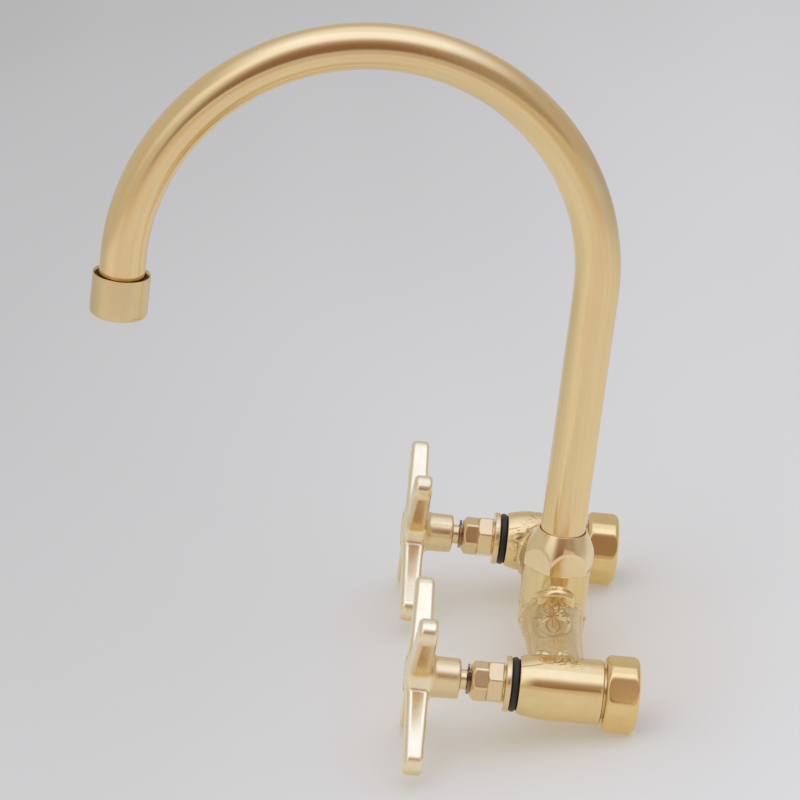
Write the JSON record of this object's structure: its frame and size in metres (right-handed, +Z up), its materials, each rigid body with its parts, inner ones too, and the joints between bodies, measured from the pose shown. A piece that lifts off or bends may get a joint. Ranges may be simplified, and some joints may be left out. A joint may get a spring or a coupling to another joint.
{
  "type": "wall-mounted bridge faucet",
  "caption": "Wall-mounted brass bridge faucet with cross handles on ceramic cartridges, union nuts at the wall and a swivelling high swan-neck spout with aerator.",
  "frame": {"origin": "on the wall plane, midway between the two inlet axes", "axes": "+X along the bridge towards the cold side, +Y into the wall, +Z up along the spout's upright"},
  "size_m": [0.2218, 0.2395, 0.2894],
  "materials": {
    "brass_body": "polished, engraved",
    "brass_polished": "polished",
    "brass_spout": "satin, brushed along the tube",
    "brass_outlet": "turned satin",
    "brass_handle": "satin",
    "brass_machined": "machined",
    "rubber_black": "matt",
    "ceramic_white": "lapped",
    "spring_steel": "blued",
    "steel_bright": "bright",
    "plastic_white": "moulded"
  },
  "bodies": {
    "root": {"valve_body_left": "brass_body", "valve_body_right": "brass_body", "bridge_tube_left": "brass_body", "bridge_tube_right": "brass_body", "inlet_tail_left": "brass_machined", "inlet_tail_right": "brass_machined", "inlet_washer_left": "rubber_black", "inlet_washer_right": "rubber_black", "bonnet_o_ring_left": "rubber_black", "bonnet_o_ring_right": "rubber_black", "cartridge_body_left": "brass_machined", "cartridge_body_right": "brass_machined", "gland_nut_left": "brass_machined", "gland_nut_right": "brass_machined", "fixed_disc_left": "ceramic_white", "fixed_disc_right": "ceramic_white", "seat_seal_left": "rubber_black", "seat_seal_right": "rubber_black", "centre_boss": "brass_body", "spout_nut": "brass_polished"},
    "spout": {"spout_tube": "brass_spout", "spout_spigot": "brass_machined", "spout_o_rings": "rubber_black", "slip_ring": "plastic_white", "outlet_adapter": "brass_machined", "aerator_shell": "brass_outlet", "aerator_washer": "rubber_black", "aerator_insert": "plastic_white", "aerator_screens": "steel_bright"},
    "hot_handle": {"cross_handle_left": "brass_handle", "handle_screw_left": "steel_bright", "handle_button_left": "brass_handle", "spindle_left": "brass_machined", "spindle_o_rings_left": "rubber_black", "circlip_left": "spring_steel", "moving_disc_left": "ceramic_white"},
    "cold_handle": {"cross_handle_right": "brass_handle", "handle_screw_right": "steel_bright", "handle_button_right": "brass_handle", "spindle_right": "brass_machined", "spindle_o_rings_right": "rubber_black", "circlip_right": "spring_steel", "moving_disc_right": "ceramic_white"},
    "hot_union_nut": {"union_nut_left": "brass_polished"},
    "cold_union_nut": {"union_nut_right": "brass_polished"}
  },
  "joints": [
    {"name": "spout_swivel", "type": "hinge", "parent": "root", "child": "spout", "pos_m": [0, -0.032, 0.03], "axis": [0, 0, 1], "range_deg": [-94.2, 85.8]},
    {"name": "hot_valve_turn", "type": "hinge", "parent": "root", "child": "hot_handle", "pos_m": [-0.075, -0.06, 0], "axis": [0, -1, 0], "range_deg": [0, 90]},
    {"name": "cold_valve_turn", "type": "hinge", "parent": "root", "child": "cold_handle", "pos_m": [0.075, -0.06, 0], "axis": [0, -1, 0], "range_deg": [-90, 0]},
    {"name": "hot_nut_spin", "type": "hinge", "parent": "root", "child": "hot_union_nut", "pos_m": [-0.075, -0.007, 0], "axis": [0, 1, 0], "continuous": true},
    {"name": "cold_nut_spin", "type": "hinge", "parent": "root", "child": "cold_union_nut", "pos_m": [0.075, -0.007, 0], "axis": [0, 1, 0], "continuous": true}
  ]
}
